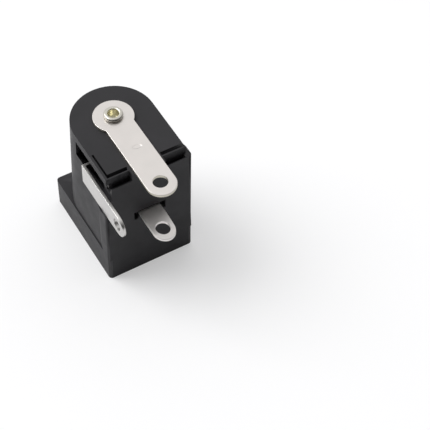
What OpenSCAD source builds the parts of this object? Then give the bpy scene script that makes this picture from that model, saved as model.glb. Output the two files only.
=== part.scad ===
// Right-angle board jack for a coaxial power plug, in millimetres.
// The barrel axis is Z, with the front face on Z = 0 and the rear at +Z.
// The board face looks to -Y and the switch contact lies on the -X side.

/* [Flange] */

// Width of the front flange
flange_width = 8.8; // [8:0.1:12]
// Height of the front flange, from the board face to the top
flange_height = 11; // [10.4:0.1:14]
// Depth of the front flange along the barrel
flange_depth = 3.2; // [2:0.1:5]
// Height of the barrel axis above the board face
axis_height = 6.6; // [6.4:0.1:7.5]
// Radius of the long corners of the flange
corner_radius = 0.35; // [0.1:0.05:0.6]

/* [Body] */

// Length from the front face to the rear plate
body_length = 13.8; // [13:0.1:17]
// Rise of the rear plate above the block at the board side
plate_rise = 0.9; // [0.8:0.05:1.1]
// Narrowing of the body behind the flange, each side
body_inset = 0.1; // [0.05:0.01:0.2]
// Extra narrowing of the body at the rear, each side
draft = 0.35; // [0.25:0.01:0.4]

/* [Barrel] */

// Diameter of the plug bore
bore_diameter = 4.2; // [3.6:0.1:4.6]
// Depth of the cone that leads into the bore
lead_in = 0.45; // [0.2:0.05:0.8]
// Length of the guide land behind the cone
land_length = 1.7; // [1.2:0.1:1.9]
// Thickness of the wall behind the bore
rear_wall = 2.1; // [1.9:0.1:2.2]
// Diameter of the centre pin
pin_diameter = 1.65; // [1:0.05:1.7]
// Depth of the pin tip below the front face
pin_recess = 2.3; // [1:0.1:4]

/* [Pin tail] */

// Diameter of the tail that passes the rear wall
tail_diameter = 1.3; // [1.2:0.05:1.4]
// Diameter of the hole in the tail
tail_hole = 1; // [0.6:0.05:1.1]
// Diameter of the rolled rim
rim_diameter = 1.8; // [1.7:0.05:2.2]
// Height of the rolled rim
rim_height = 0.4; // [0.3:0.05:0.7]

/* [Terminals] */

// Thickness of the contact sheet
sheet = 0.3; // [0.2:0.05:0.4]
// Reach of the tags past the board face
tag_reach = 3.65; // [3.4:0.05:5]
// Drop from the board face to the eye of the sleeve tag
eye_drop = 2.4; // [2:0.05:2.5]
// Drop from the board face to the eye of the rear tag
rear_eye_drop = 2.1; // [2:0.05:2.5]
// Width of the rear tag
rear_tag = 2.8; // [2.2:0.1:3.2]
// Diameter of the round head of the rear terminal
head_diameter = 3.8; // [3.4:0.1:4.4]
// Diameter of the eyes in the rear and sleeve tags
eye_diameter = 1.4; // [1:0.1:1.5]
// Depth of the sleeve tag behind the front face
sleeve_place = 7.8; // [7.4:0.1:8]
// Width of the sleeve tag
sleeve_tag = 2.2; // [2:0.1:2.6]
// Distance of the switch tag ahead of the rear plate
switch_setback = 3.3; // [3.2:0.05:3.4]
// Width of the switch tag
switch_tag = 2.3; // [2:0.05:2.4]
// Reach of the switch tag past the board face
switch_reach = 3.1; // [3:0.05:4.4]
// Diameter of the eye in the switch tag
switch_eye = 1.2; // [0.8:0.1:1.4]

/* [Hidden] */

$fn = 96;
slack = 0.5;
half_width = flange_width / 2;
top = flange_height - axis_height;
board = -axis_height;
half_front = half_width - body_inset;
half_rear = half_front - draft;
block_length = body_length - plate_rise;
bore_depth = body_length - rear_wall;
switch_place = body_length - switch_setback;
bore_radius = bore_diameter / 2;
chamber_radius = bore_radius + 0.2;
core_y = board + 0.52;
plate_y = board + 1.03;
groove = 0.38;
groove_depth = 0.6;
side_groove = 0.18;
side_depth = 0.35;
groove_left = -half_rear + 0.22;
tongue_half = 1.65;
pocket_rim = 0.1;
pocket_floor = block_length - 0.8;
undercut = block_length - 0.3;
foot = 1.2;
tip = board - tag_reach;
switch_tip = board - switch_reach;
eye_y = board - eye_drop;
rear_eye_y = board - rear_eye_drop;
switch_eye_y = switch_tip + switch_tag / 2 + 0.05;
seat = half_rear + 0.03;
side_wall = half_rear - 0.25;
cavity_floor = switch_place - 0.4;
cavity_roof = block_length + 0.15;
cavity_depth = 0.9;
notch_top = -0.25;
tab_y = -1.95;
switch_high = switch_place + switch_tag / 2;
ledge = switch_high + 0.2;
notch_low = switch_high - 0.25;
channel_half = 1.2;
leaf_half = 0.9;
channel_floor = -3.7;
slot_half = 1.6;
slot_low = sleeve_place - sheet / 2;
slot_high = sleeve_place + sheet / 2;
tail_radius = tail_diameter / 2;
pin_radius = pin_diameter / 2;
tip_round = pin_radius * 0.55;
rim_radius = rim_diameter / 2;
rim_top = body_length + sheet + rim_height;
collar_radius = bore_radius * 0.6;
collar = 0.4;

// Which sub-part to draw

// Rectangle with round corners, from low to high.
module round_rect(low, high, r) {
  size = high - low;
  translate(low + [r, 0]) square(size - [2 * r, 0]);
  translate(low + [0, r]) square(size - [0, 2 * r]);
  for (x = [low[0] + r, high[0] - r])
    for (y = [low[1] + r, high[1] - r])
      translate([x, y]) circle(r);
}

// Box from low to high.
module span(low, high) {
  translate(low) cube(high - low);
}

// Outline of a bent sheet: the middle line pushed out to both faces, with mitred bends.
function unit(v) = v / norm(v);
function left_of(v) = [-v[1], v[0]];
function way(path, i) = unit(path[i + 1] - path[i]);
function push(path, i) =
  i == 0 ? left_of(way(path, 0)) :
  i == len(path) - 1 ? left_of(way(path, i - 1)) :
  (left_of(way(path, i - 1)) + left_of(way(path, i))) / (1 + way(path, i - 1) * way(path, i));
function bent(path, t) = concat(
  [for (i = [0 : len(path) - 1]) path[i] + push(path, i) * t / 2],
  [for (i = [len(path) - 1 : -1 : 0]) path[i] - push(path, i) * t / 2]
);

// Long foot along a board-side corner of the body, on the +X side.
module foot_section() {
  inner = half_rear - 0.8;
  polygon([
    [inner, board],
    [half_width - corner_radius, board],
    [half_width, board + corner_radius],
    [half_width, board + foot],
    [half_front, board + foot + 0.5],
    [inner, board + foot + 0.5]
  ]);
  translate([half_width - corner_radius, board + corner_radius]) circle(corner_radius);
}

// Tapered body behind the flange: a cone above the axis and flat sides below it.
module body_solid() {
  start = flange_depth - slack;
  front = half_front + draft * slack / (body_length - flange_depth);
  translate([0, 0, start])
    cylinder(h = body_length - start, r1 = front, r2 = half_rear);
  rotate([90, 0, 0])
    linear_extrude(height = axis_height)
      polygon([[-front, start], [front, start], [half_rear, body_length], [-half_rear, body_length]]);
}

// Room for the sheet of the sleeve contact: mouth, guide slot and spring channel.
module sleeve_room() {
  mouth = 0.6;
  span([-slot_half, board - slack, slot_low], [slot_half, channel_floor + slack, slot_high]);
  span([-slot_half, board - slack, slot_low - 0.1], [slot_half, board + mouth, slot_high + 0.15]);
  for (side = [-1, 1])
    translate([side * (slot_half - 0.2), board + mouth / 2 - slack / 2, sleeve_place])
      cube([0.4, mouth + slack, sheet + 0.7], center = true);
  span([-channel_half, channel_floor, slot_low], [channel_half, 0, ledge + 0.1]);
}

// Room for the switch contact: seat, open notch, dark cavity and passage for the tab.
module switch_room() {
  low = switch_place - switch_tag / 2 - 0.1;
  far = half_width + slack;
  high = body_length + slack;
  span([-far, board - slack, low], [-seat, tab_y + sheet / 2 + 0.05, high]);
  span([-far, board - slack, notch_low], [-side_wall, notch_top, cavity_roof]);
  span([-side_wall - 0.01, board + 1.5, cavity_floor], [-side_wall + cavity_depth, notch_top, cavity_roof]);
  span([-far, tab_y - sheet / 2, cavity_floor], [0, tab_y + sheet / 2 + 0.05, ledge]);
}

// Gap between the core and the thin edge of the board side, with an undercut.
module edge_gap(left, right) {
  translate([left, 0, 0])
    rotate([90, 0, 90])
      linear_extrude(height = right - left)
        polygon([
          [board + pocket_rim, block_length + slack],
          [board + pocket_rim, block_length],
          [board + 0.35, pocket_floor],
          [core_y + 0.4, pocket_floor],
          [core_y + 0.4, undercut],
          [core_y, undercut],
          [core_y, block_length + slack]
        ]);
}

// Step and gaps beside the tongue that carries the rear tag.
module rear_step() {
  far = half_width + slack;
  high = body_length + slack;
  span([-far, board - slack, block_length], [-tongue_half, core_y, high]);
  span([tongue_half, board - slack, block_length], [far, core_y, high]);
  edge_gap(-half_width - slack, -tongue_half);
  edge_gap(tongue_half, half_rear - 0.2);
}

// Grooves that outline the board side of the rear plate.
module plate_groove() {
  low = body_length - groove_depth;
  high = body_length + slack;
  span([groove_left, plate_y - groove, low], [-tongue_half, plate_y, high]);
  span([tongue_half, plate_y - groove, low], [half_width, plate_y, high]);
  span([groove_left, plate_y - groove, body_length - side_depth], [groove_left + side_groove, -2.95, high]);
}

module housing() {
  color("#232326")
    difference() {
      union() {
        linear_extrude(height = flange_depth)
          round_rect([-half_width, board], [half_width, top], corner_radius);
        body_solid();
        translate([0, 0, flange_depth - slack]) {
          linear_extrude(height = block_length - flange_depth + slack) foot_section();
          linear_extrude(height = block_length - flange_depth + slack) mirror([1, 0, 0]) foot_section();
        }
      }
      translate([0, 0, -slack]) cylinder(h = lead_in + land_length + 2 * slack, r = bore_radius);
      translate([0, 0, lead_in + land_length])
        cylinder(h = bore_depth - lead_in - land_length, r = chamber_radius);
      translate([0, 0, -slack])
        cylinder(h = lead_in + slack, r1 = bore_radius + lead_in + slack, r2 = bore_radius);
      cylinder(h = body_length + slack, r = tail_radius);
      sleeve_room();
      switch_room();
      rear_step();
      plate_groove();
    }
}

module centre_pin() {
  color("#c9c7c0")
    difference() {
      rotate_extrude() {
        translate([0, pin_recess]) square([pin_radius - tip_round, tip_round * 2]);
        translate([pin_radius - tip_round, pin_recess + tip_round])
          intersection() {
            circle(tip_round);
            translate([-(pin_radius - tip_round), -tip_round]) square([pin_radius, 2 * tip_round]);
          }
        translate([0, pin_recess + tip_round]) square([pin_radius, bore_depth - pin_recess - tip_round]);
        translate([0, bore_depth - collar]) square([collar_radius, collar]);
        translate([0, bore_depth - collar]) square([tail_radius, rim_top - rim_height / 2 - bore_depth + collar]);
        translate([0, body_length + sheet]) square([rim_radius, rim_height / 2]);
        translate([0, body_length + sheet]) square([(rim_radius + tail_hole / 2) / 2, rim_height]);
        translate([rim_radius - rim_height / 2, rim_top - rim_height / 2]) circle(rim_height / 2);
      }
      translate([0, 0, body_length - 1.2]) cylinder(h = 1.2 + sheet + rim_height + slack, r = tail_hole / 2);
    }
}

// Flat tag in the XY plane that ends in a half circle with an eye.
module tag_shape(width, from) {
  translate([-width / 2, tip + width / 2]) square([width, from - tip - width / 2]);
  translate([0, tip + width / 2]) circle(width / 2);
}

module rear_terminal() {
  color("#d3d4d6")
    translate([0, 0, body_length])
      linear_extrude(height = sheet)
        difference() {
          union() {
            tag_shape(rear_tag, 0);
            circle(head_diameter / 2);
          }
          circle(tail_radius);
          translate([0, rear_eye_y]) circle(eye_diameter / 2);
        }
}

module sleeve_contact() {
  line = channel_floor + 0.3 + sheet / 2;
  end = tab_y - sheet;
  bump = -bore_radius + 0.1;
  path = [
    [sleeve_place, line - 1],
    [sleeve_place, line],
    [sleeve_place + 0.6, line],
    [switch_place - 1.2, bump],
    [switch_place - 0.9, bump],
    [switch_place - 0.3, end],
    [switch_high - 0.3, end]
  ];
  color("#cfd0d2") {
    translate([0, 0, slot_low])
      linear_extrude(height = sheet)
        difference() {
          union() {
            tag_shape(sleeve_tag, line - 0.5);
            translate([-slot_half, board + 0.7]) square([2 * slot_half, channel_floor - board - 0.7]);
          }
          translate([0, eye_y]) circle(eye_diameter / 2);
        }
    translate([-leaf_half, 0, 0])
      rotate([0, -90, 0])
        mirror([0, 0, 1])
          linear_extrude(height = 2 * leaf_half)
            polygon(bent(path, sheet));
  }
}

module switch_contact() {
  face = seat + sheet;
  head = tab_y + sheet / 2;
  low = switch_place - switch_tag / 2;
  color("#d3d4d6") {
    translate([-face, 0, 0])
      rotate([90, 0, 90])
        linear_extrude(height = sheet)
          difference() {
            union() {
              translate([switch_tip + switch_tag / 2, low]) square([head - switch_tip - switch_tag / 2, switch_tag]);
              translate([switch_tip + switch_tag / 2, switch_place]) circle(switch_tag / 2);
            }
            translate([switch_eye_y, switch_place]) circle(switch_eye / 2);
          }
    span([-face, tab_y - sheet / 2, switch_place - 0.3], [leaf_half, tab_y + sheet / 2, switch_high]);
  }
}

housing();
centre_pin();
rear_terminal();
sleeve_contact();
switch_contact();
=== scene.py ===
import math

import bmesh
import bpy
from mathutils import Matrix, Vector


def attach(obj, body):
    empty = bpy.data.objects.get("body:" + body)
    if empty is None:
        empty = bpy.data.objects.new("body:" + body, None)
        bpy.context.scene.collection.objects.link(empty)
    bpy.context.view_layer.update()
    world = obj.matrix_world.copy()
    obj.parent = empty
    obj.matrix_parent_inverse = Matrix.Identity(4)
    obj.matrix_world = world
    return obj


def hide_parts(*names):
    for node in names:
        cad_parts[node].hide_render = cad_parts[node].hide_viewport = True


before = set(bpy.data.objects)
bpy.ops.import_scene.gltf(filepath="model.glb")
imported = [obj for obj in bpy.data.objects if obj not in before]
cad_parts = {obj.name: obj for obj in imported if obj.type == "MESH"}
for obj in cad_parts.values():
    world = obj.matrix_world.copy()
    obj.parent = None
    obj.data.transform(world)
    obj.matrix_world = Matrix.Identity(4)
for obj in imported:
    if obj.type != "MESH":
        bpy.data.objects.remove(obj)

mm = 0.001
scene = bpy.context.scene
scene.view_settings.view_transform = "Standard"
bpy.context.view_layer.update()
print("frame loaded:", sorted(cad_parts))


# Node helpers: one node, its plain values, and a group with named sockets.
def addNode(tree, kind, x=0, y=0, **settings):
    node = tree.nodes.new(kind)
    node.location = (x, y)
    for name, value in settings.items():
        setattr(node, name, value)
    return node


def setValues(node, values):
    for name, value in values.items():
        node.inputs[name].default_value = value


def newGroup(name, inputs, outputs):
    group = bpy.data.node_groups.new(name, "ShaderNodeTree")
    for label, kind, value in inputs:
        socket = group.interface.new_socket(name=label, in_out="INPUT", socket_type=kind)
        socket.default_value = value
    for label, kind in outputs:
        group.interface.new_socket(name=label, in_out="OUTPUT", socket_type=kind)
    start = addNode(group, "NodeGroupInput", -900)
    end = addNode(group, "NodeGroupOutput", 600)
    return group, start, end


# Fine moulded or rolled grain, stretched along the axes as the scales say.
def makeGrainGroup():
    group, start, end = newGroup(
        "fineGrain",
        [("Stretch", "NodeSocketVector", (1, 1, 1)), ("Scale", "NodeSocketFloat", 8000.0),
         ("Detail", "NodeSocketFloat", 4.0)],
        [("Height", "NodeSocketFloat")])
    links = group.links
    place = addNode(group, "ShaderNodeTexCoord", -900, 300)
    stretch = addNode(group, "ShaderNodeVectorMath", -650, 200, operation="MULTIPLY")
    noise = addNode(group, "ShaderNodeTexNoise", -400, 200)
    noise.inputs["Roughness"].default_value = 0.6
    links.new(place.outputs["Object"], stretch.inputs[0])
    links.new(start.outputs["Stretch"], stretch.inputs[1])
    links.new(stretch.outputs["Vector"], noise.inputs["Vector"])
    links.new(start.outputs["Scale"], noise.inputs["Scale"])
    links.new(start.outputs["Detail"], noise.inputs["Detail"])
    links.new(noise.outputs["Fac"], end.inputs["Height"])
    return group


# Soft patches a millimetre or so wide, between a low and a high value. Outside its spread,
# the noise counts as fully low or fully high.
patchSpread = {"from": 0.3, "to": 0.7}


def makePatchGroup():
    group, start, end = newGroup(
        "softPatches",
        [("Scale", "NodeSocketFloat", 400.0), ("Low", "NodeSocketFloat", 0.0),
         ("High", "NodeSocketFloat", 1.0)],
        [("Value", "NodeSocketFloat")])
    links = group.links
    place = addNode(group, "ShaderNodeTexCoord", -900, 300)
    noise = addNode(group, "ShaderNodeTexNoise", -650, 200)
    setValues(noise, {"Detail": 3.0, "Roughness": 0.55})
    spread = addNode(group, "ShaderNodeMapRange", -350, 200)
    setValues(spread, {"From Min": patchSpread["from"], "From Max": patchSpread["to"]})
    links.new(place.outputs["Object"], noise.inputs["Vector"])
    links.new(start.outputs["Scale"], noise.inputs["Scale"])
    links.new(noise.outputs["Fac"], spread.inputs["Value"])
    links.new(start.outputs["Low"], spread.inputs["To Min"])
    links.new(start.outputs["High"], spread.inputs["To Max"])
    links.new(spread.outputs["Result"], end.inputs["Value"])
    return group


grainGroup = makeGrainGroup()
patchGroup = makePatchGroup()


def placeGroup(tree, group, x, y, values):
    node = addNode(tree, "ShaderNodeGroup", x, y, node_tree=group)
    setValues(node, values)
    return node


def newMaterial(name, shown):
    material = bpy.data.materials.new(name)
    material.use_nodes = True
    material.diffuse_color = (*shown, 1)
    shader = material.node_tree.nodes["Principled BSDF"]
    return material, material.node_tree, shader


# What the materials share: a tone between two colours, an uneven gloss and a fine grain.
def addTone(tree, shader, low, high, mask):
    tone = addNode(tree, "ShaderNodeMix", -400, 300, data_type="RGBA")
    tone.inputs["A"].default_value = (*low, 1)
    tone.inputs["B"].default_value = (*high, 1)
    tree.links.new(mask, tone.inputs["Factor"])
    tree.links.new(tone.outputs["Result"], shader.inputs["Base Color"])


def addPatchyTone(tree, shader, look):
    patch = placeGroup(tree, patchGroup, -700, 300, {
        "Scale": look["patchScale"], "Low": 0.0, "High": 1.0})
    addTone(tree, shader, look["dark"], look["light"], patch.outputs["Value"])


def addGloss(tree, shader, look):
    gloss = placeGroup(tree, patchGroup, -700, 0, {
        "Scale": look["glossScale"], "Low": look["roughLow"], "High": look["roughHigh"]})
    tree.links.new(gloss.outputs["Value"], shader.inputs["Roughness"])


def addGrain(tree, shader, look):
    grain = placeGroup(tree, grainGroup, -700, -300, {
        "Stretch": look["stretch"], "Scale": look["grainScale"], "Detail": look["grainDetail"]})
    bump = addNode(tree, "ShaderNodeBump", -350, -300)
    setValues(bump, {"Strength": look["grainBump"], "Distance": look["grainDepth"]})
    tree.links.new(grain.outputs["Height"], bump.inputs["Height"])
    tree.links.new(bump.outputs["Normal"], shader.inputs["Normal"])
    return bump


# How far a point lies from the Z axis.
def addReach(tree, vector, x, y):
    flat = addNode(tree, "ShaderNodeVectorMath", x, y, operation="MULTIPLY")
    flat.inputs[1].default_value = (1, 1, 0)
    reach = addNode(tree, "ShaderNodeVectorMath", x + 200, y, operation="LENGTH")
    tree.links.new(vector, flat.inputs[0])
    tree.links.new(flat.outputs["Vector"], reach.inputs[0])
    return reach.outputs["Value"]


# Black moulded plastic: satin, with a fine grain and slightly uneven gloss.
mouldedPlastic = {
    "dark": (0.0245, 0.0240, 0.0258), "light": (0.0300, 0.0290, 0.0318), "patchScale": 330.0,
    "roughLow": 0.44, "roughHigh": 0.52, "glossScale": 759.0, "specular": 0.18,
    "grainScale": 9000.0, "grainDetail": 3.0, "grainBump": 0.10, "grainDepth": 0.03 * mm,
    "stretch": (1, 1, 1),
}


def makePlastic(name, look):
    material, tree, shader = newMaterial(name, look["light"])
    addPatchyTone(tree, shader, look)
    addGloss(tree, shader, look)
    addGrain(tree, shader, look)
    shader.inputs["Specular IOR Level"].default_value = look["specular"]
    return material


# Bright plated sheet: faint rolling streaks along the tags and a soft uneven gloss.
platedSheet = {
    "dark": (0.66, 0.63, 0.605), "light": (0.69, 0.655, 0.63), "patchScale": 500.0,
    "roughLow": 0.33, "roughHigh": 0.38, "glossScale": 850.0,
    "grainScale": 1500.0, "grainDetail": 5.0, "grainBump": 0.02, "grainDepth": 0.01 * mm,
    "stretch": (1, 0.06, 1),
}

# The switch contact is a greyer plate.
greySheet = dict(platedSheet, dark=(0.575, 0.565, 0.55), light=(0.61, 0.60, 0.585))

# The sleeve contact is duller, as drawn stock is.
dullSheet = dict(platedSheet, dark=(0.78, 0.755, 0.735), light=(0.82, 0.795, 0.775),
                 roughLow=0.47, roughHigh=0.53)

# The sheared edges show the brass under the plate.
cutEdge = dict(platedSheet, dark=(0.54, 0.515, 0.44), light=(0.61, 0.585, 0.505),
               roughLow=0.42, roughHigh=0.52, stretch=(1, 1, 0.2))

# A shallow lens-shaped punch mark on the rear terminal's face.
punchMark = {
    "place": (0.13 * mm, -4.23 * mm, 0), "half": (0.52 * mm, 0.27 * mm, 1), "turn": -0.17,
    "inner": 0.6, "depth": 0.06 * mm, "strength": 0.6,
}


# The mark lies under the grain: its wall runs from the inner share of the lens to its edge.
def addPunchMark(tree, grainBump, mark):
    links = tree.links
    place = addNode(tree, "ShaderNodeTexCoord", -1500, -600)
    centred = addNode(tree, "ShaderNodeMapping", -1300, -600, vector_type="TEXTURE")
    setValues(centred, {
        "Location": mark["place"], "Rotation": (0, 0, mark["turn"]), "Scale": mark["half"]})
    wall = addNode(tree, "ShaderNodeMapRange", -700, -600, interpolation_type="SMOOTHSTEP")
    setValues(wall, {"From Min": mark["inner"], "From Max": 1.0})
    dent = addNode(tree, "ShaderNodeBump", -500, -600)
    setValues(dent, {"Strength": mark["strength"], "Distance": mark["depth"]})
    links.new(place.outputs["Object"], centred.inputs["Vector"])
    links.new(addReach(tree, centred.outputs["Vector"], -1100, -600), wall.inputs["Value"])
    links.new(wall.outputs["Result"], dent.inputs["Height"])
    links.new(dent.outputs["Normal"], grainBump.inputs["Normal"])


def makePlated(name, look, mark=None):
    material, tree, shader = newMaterial(name, look["light"])
    addPatchyTone(tree, shader, look)
    addGloss(tree, shader, look)
    grainBump = addGrain(tree, shader, look)
    shader.inputs["Metallic"].default_value = 1.0
    if mark:
        addPunchMark(tree, grainBump, mark)
    return material


# Turned brass pin: plated outside. Down the hole of its tail the tone turns to a lighter brass,
# partly the bare brass there and partly painted light on the hole's floor.
turnedPin = {
    "plate": (0.55, 0.53, 0.48), "brassAndHoleLight": (0.80, 0.77, 0.62),
    "brassAndHoleLightFrom": 0.515 * mm, "plateFrom": 0.65 * mm,
    "roughLow": 0.30, "roughHigh": 0.38, "glossScale": 900.0,
    "grainScale": 2500.0, "grainDetail": 4.0, "grainBump": 0.06, "grainDepth": 0.02 * mm,
    "stretch": (1, 1, 6),
}


def makePinMetal(name, look):
    material, tree, shader = newMaterial(name, look["plate"])
    place = addNode(tree, "ShaderNodeTexCoord", -1300, 300)
    # Towards the axis the tone turns to the lighter brass: a brass tint plus painted light in the
    # tail's hole.
    inside = addNode(tree, "ShaderNodeMapRange", -700, 300, interpolation_type="SMOOTHSTEP")
    setValues(inside, {"From Min": look["brassAndHoleLightFrom"], "From Max": look["plateFrom"],
                       "To Min": 1.0, "To Max": 0.0})
    tree.links.new(addReach(tree, place.outputs["Object"], -1100, 300), inside.inputs["Value"])
    addTone(tree, shader, look["plate"], look["brassAndHoleLight"], inside.outputs["Result"])
    addGloss(tree, shader, look)
    addGrain(tree, shader, look)
    shader.inputs["Metallic"].default_value = 1.0
    return material


plastic = makePlastic("blackPlastic", mouldedPlastic)
platedGrey = makePlated("platedGrey", greySheet)
platedMarked = makePlated("platedMarked", platedSheet, punchMark)
platedDull = makePlated("platedDull", dullSheet)
shearedEdge = makePlated("shearedEdge", cutEdge)
pinMetal = makePinMetal("pinMetal", turnedPin)
print("materials ready")


# How near two points are one, how flat a joint is joined up, where shading turns sharp, and
# how little a sheared side faces up or down.
meshWork = {"weld": 0.0001 * mm, "flatAngle": 0.6, "smoothAngle": 40, "sideLimit": 0.3}

# Widths of the softened edges, and how sharp an edge has to be. One that is shorter than so
# many widths crowds its corners.
edgeSoftness = {
    "plastic": 0.07 * mm, "plasticCrowding": 7.5, "sheet": 0.04 * mm, "sheetCrowding": 3,
    "segments": 2, "fromAngle": 38,
}


def weld(bm):
    bmesh.ops.remove_doubles(bm, verts=bm.verts, dist=meshWork["weld"])


# A merged copy of a CAD node's mesh, with its flat faces joined up again.
def mergedCopy(node):
    bm = bmesh.new()
    bm.from_mesh(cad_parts[node].data)
    weld(bm)
    flat = math.radians(meshWork["flatAngle"])
    bmesh.ops.dissolve_limit(bm, angle_limit=flat, verts=bm.verts, edges=bm.edges)
    return bm


# Crowded corners stay sharp, so that they don't hold the other edges back.
def softenEdges(bm, width, crowding):
    limit = math.radians(edgeSoftness["fromAngle"])
    sharp = [edge for edge in bm.edges
             if len(edge.link_faces) == 2 and edge.calc_face_angle(0) > limit]
    short = [edge for edge in sharp if edge.calc_length() < crowding * width]
    crowded = {vert for edge in short for vert in edge.verts}
    free = [edge for edge in sharp if not crowded.intersection(edge.verts)]
    bmesh.ops.bevel(bm, geom=free, offset=width, offset_type="OFFSET",
                    segments=edgeSoftness["segments"], profile=0.5, affect="EDGES",
                    clamp_overlap=True, material=-1)


def finishPiece(bm, name, node, material, sideMaterial=None):
    bmesh.ops.recalc_face_normals(bm, faces=bm.faces)
    if sideMaterial:
        for face in bm.faces:
            face.material_index = int(abs(face.normal.z) < meshWork["sideLimit"])
    mesh = bpy.data.meshes.new(name)
    bm.to_mesh(mesh)
    bm.free()
    mesh.shade_smooth()
    mesh.set_sharp_from_angle(angle=math.radians(meshWork["smoothAngle"]))
    mesh.materials.append(material)
    if sideMaterial:
        mesh.materials.append(sideMaterial)
    piece = bpy.data.objects.new(name, mesh)
    scene.collection.objects.link(piece)
    weighted = piece.modifiers.new("flatFaces", "WEIGHTED_NORMAL")
    weighted.keep_sharp = True
    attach(piece, "root")
    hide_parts(node)
    print("made", name, len(mesh.polygons), "faces")


# The housing. Its slot for the sleeve tag stands a little open over the tag.
sleeveSlot = {
    "ceiling": 8.1 * mm, "tolerance": 0.002 * mm, "halfWidth": 1.25 * mm,
    "inside": -5.0 * mm, "open": 0.2 * mm,
}


def openSlot(bm, slot):
    for vert in bm.verts:
        x, y, z = vert.co
        atCeiling = abs(z - slot["ceiling"]) < slot["tolerance"]
        if atCeiling and abs(x) < slot["halfWidth"] and y < slot["inside"]:
            vert.co.z += slot["open"]
    weld(bm)
    bmesh.ops.dissolve_degenerate(bm, dist=meshWork["weld"], edges=bm.edges)


def makeHousing():
    bm = mergedCopy("housing")
    openSlot(bm, sleeveSlot)
    softenEdges(bm, edgeSoftness["plastic"], edgeSoftness["plasticCrowding"])
    finishPiece(bm, "housingShell", "housing", plastic)


# The three stamped contacts.
def sheetCopy(node):
    bm = mergedCopy(node)
    softenEdges(bm, edgeSoftness["sheet"], edgeSoftness["sheetCrowding"])
    return bm


def makeRearTerminal():
    bm = sheetCopy("rear_terminal")
    finishPiece(bm, "rearTerminal", "rear_terminal", platedMarked,
                sideMaterial=shearedEdge)


# The sleeve tag is cut across, and its outer half curled a little down, most at one side.
sleeveTag = {
    "cutFrom": -6.2 * mm, "cutTo": -10.2 * mm, "cuts": 17, "cutTolerance": 0.00001 * mm,
    "curlStart": -7.8 * mm, "lean": 0.6, "curl": 0.05 / mm,
}


def cutAcross(bm, tag):
    along = Vector((0, 1, 0))
    step = (tag["cutTo"] - tag["cutFrom"]) / (tag["cuts"] - 1)
    for number in range(tag["cuts"]):
        level = tag["cutFrom"] + step * number
        everything = bm.verts[:] + bm.edges[:] + bm.faces[:]
        bmesh.ops.bisect_plane(bm, geom=everything, dist=tag["cutTolerance"],
                               plane_co=along * level, plane_no=along)


def makeSleeveContact(tag):
    bm = sheetCopy("sleeve_contact")
    cutAcross(bm, tag)
    for vert in bm.verts:
        if vert.co.y < tag["cutFrom"]:
            beyond = tag["curlStart"] - vert.co.y + tag["lean"] * vert.co.x
            vert.co.z -= tag["curl"] * max(0, beyond) ** 2
    finishPiece(bm, "sleeveContact", "sleeve_contact", platedDull)


def makeSwitchContact():
    bm = sheetCopy("switch_contact")
    finishPiece(bm, "switchContact", "switch_contact", platedGrey)


makeHousing()
makeRearTerminal()
makeSleeveContact(sleeveTag)
makeSwitchContact()


# The turned pin: a round nose, a collar against the rear wall and a tail riveted over.
pinSize = {
    "tip": 2.3 * mm, "radius": 0.825 * mm, "nose": 0.454 * mm,
    "collarLow": 11.3 * mm, "collarHigh": 11.7 * mm, "collarRadius": 1.26 * mm,
    "tailRadius": 0.65 * mm, "seat": 14.1 * mm,
    "rollPlace": (0.69 * mm, 14.3 * mm), "roll": 0.2 * mm, "rollStart": -65, "mouth": 0.17 * mm,
    "holeRadius": 0.49 * mm, "holeFloor": 13.62 * mm, "holeCone": 0.08 * mm,
    "noseSteps": 9, "rollSteps": 15, "mouthSteps": 8, "turnSteps": 64,
}


def arcPoints(centre, radius, start, end, count):
    angles = [math.radians(start + (end - start) * i / (count - 1)) for i in range(count)]
    return [(centre[0] + radius * math.cos(a), centre[1] + radius * math.sin(a)) for a in angles]


def makeCentrePin(size):
    noseCentre = (size["radius"] - size["nose"], size["tip"] + size["nose"])
    rollPlace = size["rollPlace"]
    mouthCentre = (size["holeRadius"] + size["mouth"], rollPlace[1] + size["roll"] - size["mouth"])
    outline = [(0, size["tip"])]
    outline += arcPoints(noseCentre, size["nose"], -90, 0, size["noseSteps"])
    outline += [(size["radius"], size["collarLow"]),
                (size["collarRadius"], size["collarLow"]),
                (size["collarRadius"], size["collarHigh"]),
                (size["tailRadius"], size["collarHigh"]),
                (size["tailRadius"], size["seat"])]
    outline += arcPoints(rollPlace, size["roll"], size["rollStart"], 90, size["rollSteps"])
    outline += arcPoints(mouthCentre, size["mouth"], 90, 180, size["mouthSteps"])
    outline += [(size["holeRadius"], size["holeFloor"]), (0, size["holeFloor"] - size["holeCone"])]
    bm = bmesh.new()
    verts = [bm.verts.new((across, 0, up)) for across, up in outline]
    edges = [bm.edges.new(pair) for pair in zip(verts, verts[1:])]
    bmesh.ops.spin(bm, geom=verts + edges, axis=(0, 0, 1), cent=(0, 0, 0), dvec=(0, 0, 0),
                   angle=2 * math.pi, steps=size["turnSteps"], use_merge=True, use_duplicate=False)
    weld(bm)
    finishPiece(bm, "centrePin", "centre_pin", pinMetal)


makeCentrePin(pinSize)


# The camera stands in front of the board side, above and to the left.
camera = {
    "place": (-35.28 * mm, -75.11 * mm, 106.27 * mm),
    "right": (0.86337, -0.50424, 0.01819), "up": (0.38875, 0.68779, 0.61304),
    "lens": 115.5, "sensor": 36.0, "clip": (1 * mm, 20),
}


def addCamera(setup):
    data = bpy.data.cameras.new("camera")
    data.lens = setup["lens"]
    data.sensor_width = setup["sensor"]
    data.clip_start, data.clip_end = setup["clip"]
    eye = bpy.data.objects.new("camera", data)
    scene.collection.objects.link(eye)
    across = Vector(setup["right"]).normalized()
    back = across.cross(Vector(setup["up"])).normalized()
    turn = Matrix((across, back.cross(across), back)).transposed()
    eye.matrix_world = Matrix.Translation(setup["place"]) @ turn.to_4x4()
    scene.camera = eye


addCamera(camera)


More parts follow.
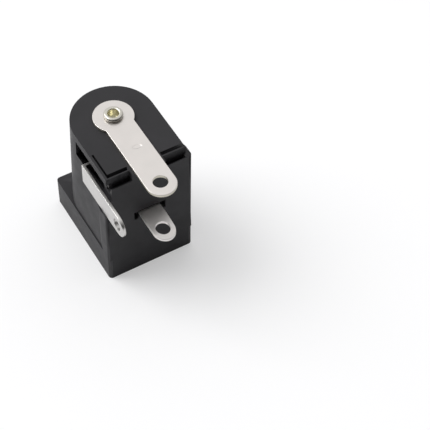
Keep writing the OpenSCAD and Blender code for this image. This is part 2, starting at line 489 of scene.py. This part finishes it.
# A wide white table in a soft room: bright behind and above, dim on the board side.
# What the camera and the metal see of the table is lifted part of the way to white, so
# that its shadows stay soft.
studio = {
    "tableRadius": 3.0, "tableSides": 64, "tableDrop": 0.0001 * mm,
    "table": (0.93, 0.93, 0.94), "tableRough": 0.8, "tableSpecular": 0.1,
    "lift": 0.36, "glossyLift": 0.1,
    "brightWay": (0.22, 0.60, 0.77), "dimFacing": -0.1, "brightFacing": 0.85,
    "dim": 0.0, "bright": 1.0,
    "keyPlace": (-0.50, 0.45, 0.75), "keyAim": (0, 0, 0), "keySize": (0.7, 0.7), "keyPower": 7.0,
}


def addTable(setup):
    bm = bmesh.new()
    bmesh.ops.create_circle(bm, cap_ends=True, segments=setup["tableSides"],
                            radius=setup["tableRadius"])
    mesh = bpy.data.meshes.new("table")
    bm.to_mesh(mesh)
    bm.free()
    material, tree, shader = newMaterial("tableTop", setup["table"])
    setValues(shader, {"Base Color": (*setup["table"], 1), "Roughness": setup["tableRough"],
                       "Specular IOR Level": setup["tableSpecular"]})
    links = tree.links
    path = addNode(tree, "ShaderNodeLightPath", -900, 300)
    shine = addNode(tree, "ShaderNodeMath", -700, 100, operation="MULTIPLY")
    shine.inputs[1].default_value = setup["glossyLift"]
    seen = addNode(tree, "ShaderNodeMath", -450, 300, operation="MAXIMUM")
    share = addNode(tree, "ShaderNodeMath", -250, 300, operation="MULTIPLY")
    share.inputs[1].default_value = setup["lift"]
    glow = addNode(tree, "ShaderNodeEmission", -250, -300)
    blend = addNode(tree, "ShaderNodeMixShader", 350, 200)
    links.new(path.outputs["Is Camera Ray"], seen.inputs[0])
    links.new(path.outputs["Is Glossy Ray"], shine.inputs[0])
    links.new(shine.outputs["Value"], seen.inputs[1])
    links.new(seen.outputs["Value"], share.inputs[0])
    links.new(share.outputs["Value"], blend.inputs[0])
    links.new(shader.outputs["BSDF"], blend.inputs[1])
    links.new(glow.outputs["Emission"], blend.inputs[2])
    links.new(blend.outputs["Shader"], tree.nodes["Material Output"].inputs["Surface"])
    mesh.materials.append(material)
    table = bpy.data.objects.new("table", mesh)
    table.location.z = -setup["tableDrop"]
    scene.collection.objects.link(table)


def addKeyLight(setup):
    data = bpy.data.lights.new("keyLight", "AREA")
    data.shape = "RECTANGLE"
    data.size, data.size_y = setup["keySize"]
    data.energy = setup["keyPower"]
    lamp = bpy.data.objects.new("keyLight", data)
    scene.collection.objects.link(lamp)
    lamp.location = setup["keyPlace"]
    aim = Vector(setup["keyAim"]) - Vector(setup["keyPlace"])
    lamp.rotation_euler = aim.to_track_quat("-Z", "Y").to_euler()


def addWorld(setup):
    world = bpy.data.worlds.new("room")
    scene.world = world
    world.use_nodes = True
    tree = world.node_tree
    links = tree.links
    way = addNode(tree, "ShaderNodeTexCoord", -900)
    facing = addNode(tree, "ShaderNodeVectorMath", -700, operation="DOT_PRODUCT")
    facing.inputs[1].default_value = Vector(setup["brightWay"]).normalized()
    level = addNode(tree, "ShaderNodeMapRange", -450, interpolation_type="SMOOTHSTEP")
    setValues(level, {"From Min": setup["dimFacing"], "From Max": setup["brightFacing"],
                      "To Min": setup["dim"], "To Max": setup["bright"]})
    back = tree.nodes["Background"]
    back.inputs["Color"].default_value = (1, 1, 1, 1)
    links.new(way.outputs["Generated"], facing.inputs[0])
    links.new(facing.outputs["Value"], level.inputs["Value"])
    links.new(level.outputs["Result"], back.inputs["Strength"])


addTable(studio)
addWorld(studio)
addKeyLight(studio)
print("studio ready")
